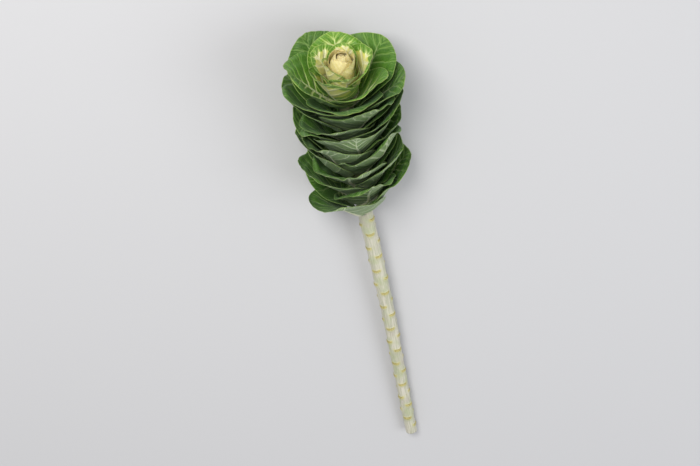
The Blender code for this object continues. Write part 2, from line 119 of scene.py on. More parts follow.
T_HEIGHT, T_RADIUS, T_LENGTH, T_A0, T_A1, T_A2 = [
    level_table(v) for v in (HEIGHT, RADIUS, LENGTH, ANGLE_BASE, ANGLE_MID, ANGLE_TIP)
]
UV = np.linspace(0.0, 1.15, 116)
UM = 0.5 * (UV[1:] + UV[:-1])
_ang = np.radians(
    T_A0[:, None] * (2 * (UM - 0.5) * (UM - 1)) + T_A1[:, None] * (-4 * UM * (UM - 1)) + T_A2[:, None] * (2 * UM * (UM - 0.5))
)
_zero = np.zeros((len(LV), 1))
M_RHO = T_RADIUS[:, None] + np.concatenate([_zero, np.cumsum(np.sin(_ang), 1)], 1) * 0.01 * T_LENGTH[:, None]
M_W = T_HEIGHT[:, None] + np.concatenate([_zero, np.cumsum(np.cos(_ang), 1)], 1) * 0.01 * T_LENGTH[:, None]
_ds = np.gradient(np.stack([M_RHO, M_W], -1), LV, axis=0)
_du = np.gradient(np.stack([M_RHO, M_W], -1), UV, axis=1)
_du /= np.linalg.norm(_du, axis=-1, keepdims=True)
M_STEP = np.maximum(_ds[..., 1] * _du[..., 0] - _ds[..., 0] * _du[..., 1], 0.4)  # mm between levels


def lookup(grid, s, u):
    fs = np.clip((np.asarray(s) - LV[0]) / 0.25, 0, len(LV) - 1.001)
    fu = np.clip(np.asarray(u) / 0.01, 0, len(UV) - 1.001)
    i, j = fs.astype(int), fu.astype(int)
    a, b = fs - i, fu - j
    return (grid[i, j] * (1 - a) + grid[i + 1, j] * a) * (1 - b) + (grid[i, j + 1] * (1 - a) + grid[i + 1, j + 1] * a) * b


def level_value(table, s):
    return np.interp(s, LV, table)


# ---- the stem axis: W runs along it, 0 near the lowest leaves ----
FLOOR_SOFT, FLOOR_SINK, FLOOR_REST = 6.5, 0.0, -0.6  # how softly, how deep and how high the head rests on the floor
WS = np.arange(-BARE_STEM - 5.0, 260.0, 1.0)
_slope = np.radians(SLOPE_STEM + (SLOPE_HEAD - SLOPE_STEM) * smooth((WS - BEND_FROM) / (BEND_TO - BEND_FROM)))
_yaw = np.radians(2.2 * np.sin((WS + 415.0) / 95.0) - 1.5 + 5.0 * smooth((WS + 150.0) / 260.0))
TX, TY, TZ = np.cos(_slope) * np.sin(_yaw), np.cos(_slope) * np.cos(_yaw), np.sin(_slope)
CX, CY, CZ = [np.concatenate([[0.0], np.cumsum(0.5 * (t[1:] + t[:-1]))]) for t in (TX, TY, TZ)]
_cut = 5
CX, CY, CZ = CX - CX[_cut], CY - CY[_cut], CZ - CZ[_cut] + R_CUT * math.cos(math.radians(SLOPE_STEM))
BX, BY = np.cos(_yaw), -np.sin(_yaw)
NX, NY, NZ = -np.sin(_slope) * np.sin(_yaw), -np.sin(_slope) * np.cos(_yaw), np.cos(_slope)


def to_world(x, y, w):
    """Head space (x to the side, y to the upper side, w along the axis) to floor space, with the head's own unevenness."""
    k = smooth((w + 30.0) / 60.0) * smooth(np.hypot(x, y) / 45.0)
    x1 = x + k * 2.6 * (np.sin(w / 23.0 + 0.7) * np.cos(y / 27.0 + 1.1) + 0.5 * np.sin(y / 13.0 + w / 19.0))
    y1 = y + k * 2.6 * (np.sin(w / 21.0 + 2.9) * np.cos(x / 25.0 + 0.4) + 0.5 * np.sin(x / 12.0 - w / 17.0 + 1.3))
    w1 = w + k * 2.4 * (np.sin(x / 22.0 + 1.9) * np.cos(y / 24.0 + 2.2) + 0.5 * np.sin((x + y) / 14.0))
    c = [np.interp(w1, WS, v) for v in (CX, CY, CZ)]
    b = [np.interp(w1, WS, v) for v in (BX, BY)]
    n = [np.interp(w1, WS, v) for v in (NX, NY, NZ)]
    px = c[0] + x1 * b[0] + y1 * n[0]
    py = c[1] + x1 * b[1] + y1 * n[1]
    pz = c[2] + y1 * n[2]
    # Leaves under the head are pressed flat on the floor.
    press = smooth((py - 290.0) / 70.0)
    soft = FLOOR_SOFT * np.logaddexp(0.0, (pz - FLOOR_SINK) / FLOOR_SOFT) + FLOOR_REST
    pz = pz + press * (soft - pz)
    return np.stack([px, py, pz], -1)


def head_point(s, u, a):
    rho, w = lookup(M_RHO, s, u), lookup(M_W, s, u)
    return to_world(rho * np.cos(a), rho * np.sin(a), w)


# ---- leaf outline ----
def outline_curve(n=241):
    """The half outline as a smooth curve from the base to the tip, with its share of arc length."""
    p = np.vstack([2 * OUTLINE[0] - OUTLINE[1], OUTLINE, [-OUTLINE[-2][0], OUTLINE[-2][1]]])
    out = []
    for k in range(1, len(p) - 2):
        t = np.linspace(0, 1, 24, endpoint=False)[:, None]
        out.append(
            0.5 * (2 * p[k] + (p[k + 1] - p[k - 1]) * t + (2 * p[k - 1] - 5 * p[k] + 4 * p[k + 1] - p[k + 2]) * t**2
                   + (3 * p[k] - p[k - 1] - 3 * p[k + 1] + p[k + 2]) * t**3)
        )  # fmt: skip
    out = np.vstack(out + [p[-2:-1]])
    d = np.concatenate([[0], np.cumsum(np.linalg.norm(np.diff(out, axis=0), axis=1))])
    q = np.linspace(0, d[-1], n)
    return np.stack([np.interp(q, d, out[:, 0]), np.interp(q, d, out[:, 1])], -1)


CURVE = outline_curve()
CORNER = 0.80  # share of the half outline where the side ends and the top arc starts


def on_outline(q):
    f = np.clip(q, 0, 1) * (len(CURVE) - 1)
    i = np.minimum(f.astype(int), len(CURVE) - 2)
    return CURVE[i] + (f - i)[:, None] * (CURVE[i + 1] - CURVE[i])


def leaf_plane(a, b):
    """Square (a from -1 to 1, b from 0 to 1) to the flat leaf, in shares of its length (Coons patch)."""
    ua, ub = np.unique(a), np.unique(b)
    side = on_outline(CORNER * ub)
    top = on_outline(1.0 - np.abs(ua) * (1.0 - CORNER)) * np.stack([np.where(ua < 0, -1.0, 1.0), np.ones(len(ua))], -1)
    ia, ib = np.searchsorted(ua, a), np.searchsorted(ub, b)
    right, left = side[ib], side[ib] * [-1.0, 1.0]
    bottom = np.stack([a * CURVE[0, 0], np.zeros(len(a))], -1)
    al, be = ((a + 1) / 2)[:, None], b[:, None]
    corners = (1 - be) * ((1 - al) * side[0] * [-1.0, 1.0] + al * side[0]) + be * ((1 - al) * side[-1] * [-1.0, 1.0] + al * side[-1])
    return (1 - be) * bottom + be * top[ia] + (1 - al) * left + al * right - corners


def half_width(v):
    order = np.argsort(CURVE[:, 1])
    return np.interp(v, CURVE[order, 1], CURVE[order, 0])


# ---- leaves ----
def leaf_list():
    rng = np.random.default_rng(SEED)
    out = []
    for i in range(FIRST_LEVEL, COLUMN_RING + BUD_LEAVES):
        s = float(i)
        r = rng.uniform(-1, 1, 12)
        ring = smooth((s - 28) / 7)
        bud = smooth((s - 35) / 2.5)
        calm = 1 - 0.55 * ring - 0.4 * bud
        out.append(
            dict(
                s=s,
                azimuth=math.radians(FIRST_AZIMUTH + GOLDEN * i + 5 * r[0] * (1 - bud)),
                size=0.985 + 0.05 * r[1] * calm,
                wide=float(np.interp(s, LEVELS, WIDTH)) + 0.06 * r[2] * calm,
                tilt=4.5 * r[3] * calm,
                roll=4.0 * r[4] * calm,
                cup=(2.5 * r[5] - 0.5) * calm,
                tip=3.5 * r[6] * calm,
                wave=(1.2 + 0.7 * r[7]) * (1 - 0.5 * ring) * (1 - 0.5 * bud),
                turns=3.0 + round(1.4 * (r[8] + 1)),
                phase=math.pi * r[9],
                skew=0.06 * r[10],
                thick=1.0 - 0.15 * ring - 0.25 * bud,
                stalk=2.6 - 1.2 * ring - 0.8 * bud,
                room=1.25 - 0.6 * float(smooth((s - 26) / 8)) - 0.22 * float(smooth((s - 35) / 2)),
            )
        )
        out[-1].update(OWN.get(i, {}))
    return out


def wish(leaf, u, side):
    """How far leaf would like to stand off its level, in mm towards the axis; side is the distance across over its half width."""
    v = np.clip(side, -1.25, 1.25)
    t = np.clip(u / leaf["size"], 0, 1.1)
    edge = smooth((np.maximum(np.abs(v), t - 0.1) - 0.35) / 0.6)
    along = smooth(t / 0.55)
    d = leaf["tilt"] * t**1.5 + leaf["roll"] * v * along + leaf["cup"] * v * v * along
    d = d + leaf["tip"] * smooth((t - 0.55) / 0.5) * (1 - 0.5 * v * v)
    d = d + leaf["wave"] * edge * along * np.sin(leaf["turns"] * (1.7 * v + 2.6 * t) + leaf["phase"] + 1.5 * v * v)
    return d


def leaf_rho(leaf, u):
    """Radius of the leaf's middle line, which turns a distance across into an azimuth."""
    t = np.clip(u / leaf["size"], 0, 1.1)
    d = leaf["tilt"] * t**1.5 + leaf["tip"] * smooth((t - 0.55) / 0.5)
    return lookup(M_RHO, leaf["s"] + np.clip(d / lookup(M_STEP, leaf["s"], u), -8, 8), u)


# The leaves are laid one over the other from the outside in, on a grid of u and azimuth. Depth is the true distance
# in mm from the outermost level, with the floor's pressure and the head's unevenness in it.
GU, GA = 42, 120
GRID_U = (np.arange(GU) - 1) * 0.03
GRID_A = np.arange(GA) * 2 * math.pi / GA
GRID_S = np.arange(LV[0], LV[-1] + 0.01, 0.5)


def depth_table():
    s, u, a = np.meshgrid(GRID_S, np.maximum(GRID_U, 0.0), GRID_A, indexing="ij")
    p = head_point(s, u, a)
    du = np.gradient(p, axis=1)
    du[:, :2] = du[:, 2:3]
    da = np.roll(p, -1, axis=2) - np.roll(p, 1, axis=2)
    n = np.cross(du, da)
    n /= np.maximum(np.linalg.norm(n, axis=-1, keepdims=True), 1e-9)
    step = np.maximum(np.abs((np.gradient(p, 0.5, axis=0) * n).sum(-1)), 0.04)
    return np.concatenate([np.zeros((1, GU, GA)), np.cumsum(0.25 * (step[1:] + step[:-1]), axis=0)], axis=0)


DEPTH = depth_table()


def to_depth(level):
    f = np.clip((level - GRID_S[0]) / 0.5, 0, len(GRID_S) - 1.001)
    i = f.astype(int)[None]
    lo, hi = np.take_along_axis(DEPTH, i, 0)[0], np.take_along_axis(DEPTH, i + 1, 0)[0]
    return lo + (f - i[0]) * (hi - lo)


def to_level(depth):
    i = np.clip((DEPTH < depth[None]).sum(0) - 1, 0, len(GRID_S) - 2)[None]
    lo, hi = np.take_along_axis(DEPTH, i, 0)[0], np.take_along_axis(DEPTH, i + 1, 0)[0]
    return GRID_S[0] + 0.5 * (i[0] + np.clip((depth - lo) / (hi - lo), 0, 1))


def turned(a):
    return (a + math.pi) % (2 * math.pi) - math.pi


def spread(g, r):
    """Largest value within r cells."""
    p = np.pad(g, ((r, r), (0, 0)), mode="edge")
    g = np.max([p[k : k + GU] for k in range(2 * r + 1)], axis=0)
    return np.max([np.roll(g, k, axis=1) for k in range(-r, r + 1)], axis=0)


def blurred(g, r):
    k = np.hanning(2 * r + 3)[1:-1]
    k /= k.sum()
    p = np.pad(g, ((r, r), (0, 0)), mode="edge")
    g = sum(k[j] * p[j : j + GU] for j in range(2 * r + 1))
    return sum(k[j] * np.roll(g, j - r, axis=1) for j in range(2 * r + 1))


def drape(leaves):
    under = np.full((GU, GA), -99.0)
    uu, aa = np.meshgrid(GRID_U, GRID_A, indexing="ij")
    for leaf in leaves:
        s = leaf["s"]
        length = float(level_value(T_LENGTH, s))
        across = turned(aa - leaf["azimuth"]) * leaf_rho(leaf, np.maximum(uu, 0))
        across = across - 0.6 * leaf["skew"] * (uu / leaf["size"]) ** 2 * length * leaf["size"] * leaf["wide"]
        half = length * leaf["size"] * leaf["wide"] * half_width(uu / leaf["size"])
        floor_half = 0.2 * length
        depth = to_depth(np.full((GU, GA), s)) + wish(leaf, np.maximum(uu, 0), across / np.maximum(half, floor_half))
        lift = np.maximum(under + leaf["thick"] + leaf["room"] - depth, 0.0)
        depth = depth + blurred(spread(lift, 3), 3)
        leaf["level"] = to_level(depth)
        here = (np.abs(across) <= half + (7.0 if s < 30 else 3.5 if s < 36 else 1.2)) & (uu <= leaf["size"] + 0.04)
        under = np.where(here, np.maximum(under, depth), under)


def leaf_level(leaf, u, a):
    """The draped level by cubic B-spline over the grid."""
    fu = np.clip((u - GRID_U[0]) / 0.03, 1.0, GU - 2.001)
    fa = (a / (2 * math.pi) * GA) % GA
    i, j = fu.astype(int), fa.astype(int)
    x, y = fu - i, fa - j

    def basis(t):
        return ((1 - t) ** 3 / 6, (3 * t**3 - 6 * t**2 + 4) / 6, (-3 * t**3 + 3 * t**2 + 3 * t + 1) / 6, t**3 / 6)

    out = np.zeros(np.shape(u))
    for p, bu in enumerate(basis(x)):
        for q, ba in enumerate(basis(y)):
            out = out + bu * ba * leaf["level"][np.clip(i - 1 + p, 0, GU - 1), (j - 1 + q) % GA]
    return out


def leaf_points(leaf, xy):
    """Flat leaf (shares of its length) to floor space."""
    length = float(level_value(T_LENGTH, leaf["s"])) * leaf["size"]
    x = (xy[:, 0] + leaf["skew"] * xy[:, 1] ** 2 * (1 - np.abs(xy[:, 0]))) * length * leaf["wide"]
    u = xy[:, 1] * leaf["size"]
    a = leaf["azimuth"] + x / leaf_rho(leaf, u)
    return head_point(leaf_level(leaf, u, a), u, a)
# <<< head geometry

SHIFT = np.array([-3.2151, -300.8705, 0.0])

LEAVES = leaf_list()
drape(LEAVES)

# ======================================================================================================================
# Veins: a phase over the leaf that is a whole number on each side vein
# ======================================================================================================================
V_P = np.arange(-2.0, 11.0)
V_Y0 = np.array([-0.10, 0.00, 0.10, 0.20, 0.31, 0.43, 0.55, 0.67, 0.78, 0.88, 0.96, 1.03, 1.10])
V_M = np.array([-0.85, -0.60, -0.30, 0.05, 0.30, 0.50, 0.68, 0.85, 1.00, 1.20, 1.50, 1.80, 2.1])
V_C = np.array([0.95, 0.95, 0.92, 0.80, 0.75, 0.75, 0.70, 0.70, 0.70, 0.60, 0.50, 0.40, 0.3])
_pf = np.linspace(-2.0, 10.0, 121)
_y0, _m, _c = [np.interp(_pf, V_P, v) for v in (V_Y0, V_M, V_C)]


def vein_phase(x, y, left_shift):
    """Phase and its change per unit length at flat-leaf points (shares of the leaf's length)."""
    ax = np.abs(x)
    curves = _y0[None] + _m[None] * ax[:, None] + _c[None] * ax[:, None] ** 2
    curves = np.maximum.accumulate(curves + 1e-6 * np.arange(curves.shape[1]), axis=1)
    p = np.array([np.interp(yy, row, _pf) for yy, row in zip(y, curves, strict=True)])
    m, c = np.interp(p, _pf, _m), np.interp(p, _pf, _c)
    lo = _y_at(p - 0.25, ax)
    hi = _y_at(p + 0.25, ax)
    per = (hi - lo) / 0.5 / np.sqrt(1 + (m + 2 * c * ax) ** 2)
    return p + np.where(x < 0, left_shift, 0.0), np.maximum(per, 0.02)


def _y_at(p, ax):
    return np.interp(p, _pf, _y0) + np.interp(p, _pf, _m) * ax + np.interp(p, _pf, _c) * ax * ax


# ======================================================================================================================
# Mesh helpers
# ======================================================================================================================
def new_piece(name, verts_mm, faces, mat, attrs, nodes):
    me = bpy.data.meshes.new(name)
    verts = (verts_mm + SHIFT) * 0.001
    faces = np.asarray(faces, dtype=np.int32)
    me.vertices.add(len(verts))
    me.vertices.foreach_set("co", verts.astype(np.float32).ravel())
    me.loops.add(faces.size)
    me.loops.foreach_set("vertex_index", faces.ravel())
    me.polygons.add(len(faces))
    k = faces.shape[1]
    me.polygons.foreach_set("loop_start", np.arange(0, faces.size, k, dtype=np.int32))
    me.polygons.foreach_set("loop_total", np.full(len(faces), k, dtype=np.int32))
    me.update(calc_edges=True)
    me.validate()
    me.polygons.foreach_set("use_smooth", np.ones(len(me.polygons), dtype=bool))
    for key, data in attrs.items():
        at = me.attributes.new(key, "FLOAT_VECTOR", "POINT")
        at.data.foreach_set("vector", np.asarray(data, dtype=np.float32).ravel())
    me.materials.append(mat)
    ob = bpy.data.objects.new(name, me)
    bpy.context.scene.collection.objects.link(ob)
    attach(ob, "root")
    if nodes:
        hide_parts(*nodes)
    return ob


def grid_faces(rows, cols, start=0, flip=False):
    i, j = np.meshgrid(np.arange(rows - 1), np.arange(cols - 1), indexing="ij")
    a = (i * cols + j).ravel() + start
    f = np.stack([a, a + 1, a + cols + 1, a + cols], -1)
    return f[:, ::-1] if flip else f


def two_sided(top, bottom, rows, cols):
    """Faces of a closed sheet: the top grid, the bottom grid and the strip round the edge."""
    n = rows * cols
    ring = np.concatenate(
        [
            np.arange(cols),
            np.arange(1, rows) * cols + cols - 1,
            (rows - 1) * cols + np.arange(cols - 2, -1, -1),
            np.arange(rows - 2, 0, -1) * cols,
        ]
    )
    nxt = np.roll(ring, -1)
    strip = np.stack([ring, ring + n, nxt + n, nxt], -1)
    return np.vstack([grid_faces(rows, cols), grid_faces(rows, cols, n, True), strip]), np.vstack([top, bottom]), ring


def grid_normals(p):
    """Unit normals of a (rows, cols, 3) grid of points."""
    du = np.gradient(p, axis=0)
    dv = np.gradient(p, axis=1)
    n = np.cross(dv, du)
    return n / np.maximum(np.linalg.norm(n, axis=-1, keepdims=True), 1e-9)


# ======================================================================================================================
# Material nodes
# ======================================================================================================================
def lin(c):
    c = np.asarray(c, dtype=float) / 255.0
    return tuple(np.where(c <= 0.04045, c / 12.92, ((c + 0.055) / 1.055) ** 2.4)) + (1.0,)


class Nodes:
    def __init__(self, name):
        self.mat = bpy.data.materials.new(name)
        self.mat.use_nodes = True
        self.nt = self.mat.node_tree
        self.bsdf = self.nt.nodes["Principled BSDF"]

    def add(self, kind, **props):
        n = self.nt.nodes.new(kind)
        for k, v in props.items():
            setattr(n, k, v)
        return n

    def put(self, socket, value):
        if isinstance(value, bpy.types.NodeSocket):
            self.nt.links.new(value, socket)
        else:
            socket.default_value = value

    def m(self, op, a, b=0.0, c=0.0, clamp=False):
        n = self.add("ShaderNodeMath", operation=op, use_clamp=clamp)
        self.put(n.inputs[0], a)
        self.put(n.inputs[1], b)
        self.put(n.inputs[2], c)
        return n.outputs[0]

    def step(self, x, lo, hi, a=0.0, b=1.0):
        """Smooth step of x from a (at lo) to b (at hi), lo below hi."""
        n = self.add("ShaderNodeMapRange", interpolation_type="SMOOTHSTEP")
        self.put(n.inputs[0], x)
        self.put(n.inputs[1], lo)
        self.put(n.inputs[2], hi)
        self.put(n.inputs[3], a)
        self.put(n.inputs[4], b)
        return n.outputs[0]

    def line(self, x, lo, hi, a=0.0, b=1.0):
        n = self.add("ShaderNodeMapRange")
        self.put(n.inputs[0], x)
        self.put(n.inputs[1], lo)
        self.put(n.inputs[2], hi)
        self.put(n.inputs[3], a)
        self.put(n.inputs[4], b)
        return n.outputs[0]

    def mix(self, f, a, b, blend="MIX"):
        n = self.add("ShaderNodeMix", data_type="RGBA", blend_type=blend, clamp_factor=True)
        self.put(n.inputs[0], f)
        self.put(n.inputs[6], a)
        self.put(n.inputs[7], b)
        return n.outputs[2]

    def attr(self, name):
        n = self.add("ShaderNodeAttribute", attribute_name=name)
        s = self.add("ShaderNodeSeparateXYZ")
        self.nt.links.new(n.outputs["Vector"], s.inputs[0])
        return n.outputs["Vector"], s.outputs[0], s.outputs[1], s.outputs[2]

    def join(self, x, y, z):
        n = self.add("ShaderNodeCombineXYZ")
        for k, v in enumerate((x, y, z)):
            self.put(n.inputs[k], v)
        return n.outputs[0]

    def noise(self, vec, scale, detail=2.0, rough=0.5, distort=0.0):
        n = self.add("ShaderNodeTexNoise")
        self.put(n.inputs["Vector"], vec)
        n.inputs["Scale"].default_value = scale
        n.inputs["Detail"].default_value = detail
        n.inputs["Roughness"].default_value = rough
        n.inputs["Distortion"].default_value = distort
        return n.outputs["Fac"]

    def cells(self, vec, scale, feature="DISTANCE_TO_EDGE", random=1.0):
        n = self.add("ShaderNodeTexVoronoi", feature=feature)
        self.put(n.inputs["Vector"], vec)
        n.inputs["Scale"].default_value = scale
        n.inputs["Randomness"].default_value = random
        return n.outputs["Distance"]

    def ramp(self, f, stops):
        n = self.add("ShaderNodeValToRGB")
        n.color_ramp.interpolation = "EASE"
        els = n.color_ramp.elements
        while len(els) < len(stops):
            els.new(0.5)
        for e, (at, col) in zip(els, stops, strict=True):
            e.position = at
            e.color = lin(col)
        self.put(n.inputs[0], f)
        return n.outputs[0]

    def bump(self, height, distance, strength=1.0, normal=None):
        n = self.add("ShaderNodeBump")
        n.inputs["Distance"].default_value = distance
        n.inputs["Strength"].default_value = strength
        self.put(n.inputs["Height"], height)
        if normal is not None:
            self.put(n.inputs["Normal"], normal)
        return n.outputs[0]


def leaf_material():
    g = Nodes("kale_leaf")
    vec, x, y, side = g.attr("lp")  # mm across, mm along, +1 upper face to -1 lower face
    _, phase, edge, near = g.attr("lf")  # vein phase, mm to the margin, 0 at the base to 1 at the margin
    _, per, cream, age = g.attr("lg")  # mm per vein, how far the cream reaches, 0 young to 1 old
    _, rnd, size, frill = g.attr("lc")  # leaf's own number, leaf length in mm, 1 on bud leaves
    place = g.join(x, y, g.m("MULTIPLY", rnd, 97.0))
    under = g.step(side, -0.35, 0.35, 1.0, 0.0)

    # veins, in mm from the vein's middle
    wob = g.m("SUBTRACT", g.noise(place, 0.085, 3.0), 0.5)
    wob2 = g.m("SUBTRACT", g.noise(place, 0.33, 2.0), 0.5)
    ph = g.m("ADD", phase, g.m("ADD", g.m("MULTIPLY", wob, 0.30), g.m("MULTIPLY", wob2, 0.06)))
    frac = g.m("ABSOLUTE", g.m("SUBTRACT", ph, g.m("ROUND", ph)))
    ax = g.m("ABSOLUTE", x)
    out = g.line(g.m("DIVIDE", ax, size), 0.02, 0.5)
    fork = g.step(edge, 2.0, 24.0, 0.30, 0.0)
    d_main = g.m("MULTIPLY", frac, per)
    d_fork = g.m("MULTIPLY", g.m("ABSOLUTE", g.m("SUBTRACT", frac, fork)), per)
    d_half = g.m("MULTIPLY", g.m("ABSOLUTE", g.m("SUBTRACT", frac, g.step(edge, 1.0, 14.0, 0.46, 0.16))), per)
    w_main = g.line(out, 0.0, 1.0, 0.80, 0.30)
    stalk = g.m("DIVIDE", y, size)
    w_mid = g.m("ADD", g.step(stalk, 0.0, 0.95, 2.5, 0.45), g.step(stalk, 0.02, 0.30, 1.2, 0.0))
    v_mid = g.step(g.m("SUBTRACT", ax, w_mid), -0.25, 0.45, 1.0, 0.0)
    v_main = g.step(g.m("SUBTRACT", d_main, w_main), -0.15, 0.45, 1.0, 0.0)
    v_fork = g.m("MULTIPLY", g.step(g.m("SUBTRACT", d_fork, 0.16), -0.1, 0.42, 1.0, 0.0), g.step(edge, 15.0, 24.0, 1.0, 0.0))
    v_half = g.m("MULTIPLY", g.step(g.m("SUBTRACT", d_half, 0.08), -0.06, 0.36, 1.0, 0.0), g.step(edge, 8.0, 14.0, 0.75, 0.0))
    net = g.step(g.cells(place, 0.21), 0.0, 0.07, 1.0, 0.0)
    net2 = g.step(g.cells(place, 0.55), 0.0, 0.10, 1.0, 0.0)
    v_fine = g.m("MAXIMUM", g.m("MULTIPLY", net, 0.42), g.m("MULTIPLY", net2, 0.16))
    v_line = g.m("MAXIMUM", v_main, g.m("MAXIMUM", g.m("MULTIPLY", v_fork, 0.62), g.m("MULTIPLY", v_half, 0.32)))
    v_all = g.m("MAXIMUM", v_mid, v_line)

    # cream spreads from the base and runs out along the veins
    mott = g.m("SUBTRACT", g.noise(place, 0.16, 3.0, 0.6), 0.5)
    t0 = g.m("SUBTRACT", near, cream)
    reach = g.m("MULTIPLY", g.m("SUBTRACT", 0.30, t0), 9.0)
    w_flame = g.m("MINIMUM", g.m("MAXIMUM", g.m("ADD", reach, g.m("MULTIPLY", mott, 2.0)), 0.0), 1.8)
    dist = g.m("MINIMUM", d_main, g.m("ADD", g.m("MULTIPLY", d_fork, 1.6), g.line(age, 0.0, 0.6, 1.5, 0.0)))
    flame = g.m("MULTIPLY", g.step(g.m("SUBTRACT", dist, w_flame), -0.7, 0.3, 1.0, 0.0), g.step(t0, 0.24, 0.42, 1.0, 0.0))
    flame = g.m("MULTIPLY", flame, g.step(cream, 0.02, 0.22))
    t = g.m("ADD", g.m("ADD", t0, g.m("MULTIPLY", mott, g.line(age, 0.0, 0.3, 0.24, 0.16))), g.m("MULTIPLY", g.step(dist, 0.0, 3.6, -0.07, 0.02), g.line(age, 0.0, 0.3, 3.0, 1.0)))
    body = g.ramp(
        g.line(t, -0.5, 0.7),
        [
            (0.10, (233, 226, 150)),
            (0.32, (228, 222, 122)),
            (0.41, (198, 204, 78)),
            (0.48, (128, 166, 36)),
            (0.56, (92, 142, 27)),
            (0.82, (74, 124, 24)),
            (1.0, (62, 110, 22)),
        ],
    )
    old = g.ramp(
        g.line(t, -0.2, 0.9),
        [(0.0, (90, 120, 48)), (0.18, (66, 105, 26)), (0.45, (56, 96, 20)), (0.8, (50, 89, 18)), (1.0, (58, 99, 24))],
    )
    leafc = g.mix(age, body, old)
    leafc = g.mix(g.m("MULTIPLY", g.step(g.noise(place, 0.045, 2.0), 0.35, 0.7), 0.35), leafc, g.mix(age, lin((96, 146, 28)), lin((68, 108, 26))))
    vein_young = g.ramp(g.line(t0, -0.4, 0.5), [(0.0, (238, 234, 190)), (0.50, (236, 236, 188)), (0.68, (204, 219, 144)), (0.82, (146, 178, 84)), (1.0, (114, 152, 60))])
    vein_old = g.ramp(near, [(0.0, (216, 218, 178)), (0.35, (174, 192, 134)), (0.75, (126, 156, 92)), (1.0, (102, 134, 68))])
    veinc = g.mix(age, vein_young, vein_old)
    col = g.mix(flame, leafc, vein_young)
    col = g.mix(g.m("MULTIPLY", v_fine, 0.55), col, veinc)
    col = g.mix(g.m("MULTIPLY", v_line, 0.86), col, veinc)
    pale = g.mix(age, lin((222, 232, 176)), g.ramp(stalk, [(0.0, (206, 208, 172)), (0.5, (186, 196, 150)), (1.0, (126, 152, 94))]))
    pale = g.mix(g.step(stalk, 0.35, 0.95), pale, veinc)
    col = g.mix(g.m("MULTIPLY", v_mid, 0.95), col, pale)

    # lower face: grey-green with raised pale veins
    low = g.mix(age, g.mix(0.14, body, lin((176, 192, 100))), lin((115, 140, 90)))
    low = g.mix(g.m("MULTIPLY", g.m("ADD", mott, 0.5), 0.45), low, g.mix(age, g.mix(0.28, body, lin((156, 182, 78))), lin((92, 121, 66))))
    lowv = g.mix(age, g.ramp(g.line(t0, -0.4, 0.5), [(0.0, (226, 222, 178)), (0.6, (222, 224, 176)), (1.0, (142, 174, 92))]), lin((182, 196, 160)))
    low = g.mix(g.m("MULTIPLY", v_fine, g.line(age, 0.0, 1.0, 0.35, 0.6)), low, lowv)
    low = g.mix(g.m("MULTIPLY", g.m("MAXIMUM", v_line, flame), g.line(age, 0.0, 1.0, 0.75, 0.85)), low, lowv)
    low = g.mix(g.m("MULTIPLY", v_mid, 0.95), low, g.mix(g.step(stalk, 0.1, 0.9), lin((214, 214, 184)), lowv))
    col = g.mix(under, col, low)

    # pale margin line; tan, crinkled edge on the bud leaves; painted light on the bud leaves' inner faces
    rim = g.m("MULTIPLY", g.step(g.m("ADD", edge, g.m("MULTIPLY", wob2, 0.5)), 0.25, 0.95, 1.0, 0.0), g.step(stalk, 0.1, 0.2))
    rimc = g.mix(age, lin((160, 182, 96)), lin((132, 160, 88)))
    col = g.mix(g.m("MULTIPLY", rim, 0.85), col, rimc)
    budn = g.noise(place, 0.5, 3.0, 0.65)
    budc = g.mix(g.step(budn, 0.35, 0.65), lin((206, 191, 124)), lin((212, 199, 140)))
    budc = g.mix(g.m("MULTIPLY", v_line, 0.22), budc, lin((238, 230, 188)))
    budc = g.mix(g.m("MULTIPLY", g.step(near, 0.0, 0.55, 1.0, 0.0), 0.6), budc, lin((214, 206, 116)))
    tan = g.m("MULTIPLY", g.step(g.m("ADD", edge, g.m("MULTIPLY", g.m("SUBTRACT", budn, 0.5), 2.2)), 0.0, 0.8, 1.0, 0.0), 0.5)
    budc = g.mix(tan, budc, g.mix(g.noise(place, 0.9, 2.0), lin((224, 196, 136)), lin((206, 170, 114))))
    # painted light: the upper (inner) faces of the bud leaves are made paler, to lift the shade inside the bud
    budc = g.mix(g.m("MULTIPLY", g.m("SUBTRACT", 1.0, under), 0.65), budc, lin((240, 224, 164)))
    col = g.mix(frill, col, budc)
    blot = g.noise(place, 0.02, 1.0)
    col = g.mix(1.0, col, g.mix(blot, (0.86, 0.86, 0.86, 1), (1.12, 1.12, 1.10, 1)), "MULTIPLY")
    g.put(g.bsdf.inputs["Base Color"], col)

    rough = g.m("ADD", g.line(g.noise(place, 0.25, 3.0), 0.3, 0.7, 0.40, 0.56), g.m("MULTIPLY", v_all, 0.06))
    g.put(g.bsdf.inputs["Roughness"], rough)
    g.bsdf.inputs["Specular IOR Level"].default_value = 0.42
    g.bsdf.inputs["Subsurface Weight"].default_value = 0.22
    g.bsdf.inputs["Subsurface Radius"].default_value = (1.0, 1.0, 0.45)
    g.bsdf.inputs["Subsurface Scale"].default_value = 0.0016
    g.bsdf.inputs["Sheen Weight"].default_value = 0.07
    g.bsdf.inputs["Sheen Roughness"].default_value = 0.45
    g.bsdf.inputs["Sheen Tint"].default_value = (0.80, 0.95, 0.90, 1.0)
    sign = g.line(side, -1.0, 1.0, 1.0, -1.0)
    ribs = g.m("MAXIMUM", g.m("MULTIPLY", g.step(g.m("SUBTRACT", d_main, w_main), -0.4, 1.1, 1.0, 0.0), 1.0), g.m("MULTIPLY", v_fork, 0.5))
    relief = g.m("ADD", g.m("MULTIPLY", g.m("MAXIMUM", ribs, g.m("MULTIPLY", v_fine, 0.45)), sign), g.m("MULTIPLY", g.noise(place, 0.4, 3.0), 0.35))
    relief = g.m("MULTIPLY", relief, g.line(frill, 0.0, 1.0, 1.0, 0.35))
    g.put(g.bsdf.inputs["Normal"], g.bump(relief, 0.0007, 0.8))
    return g.mat


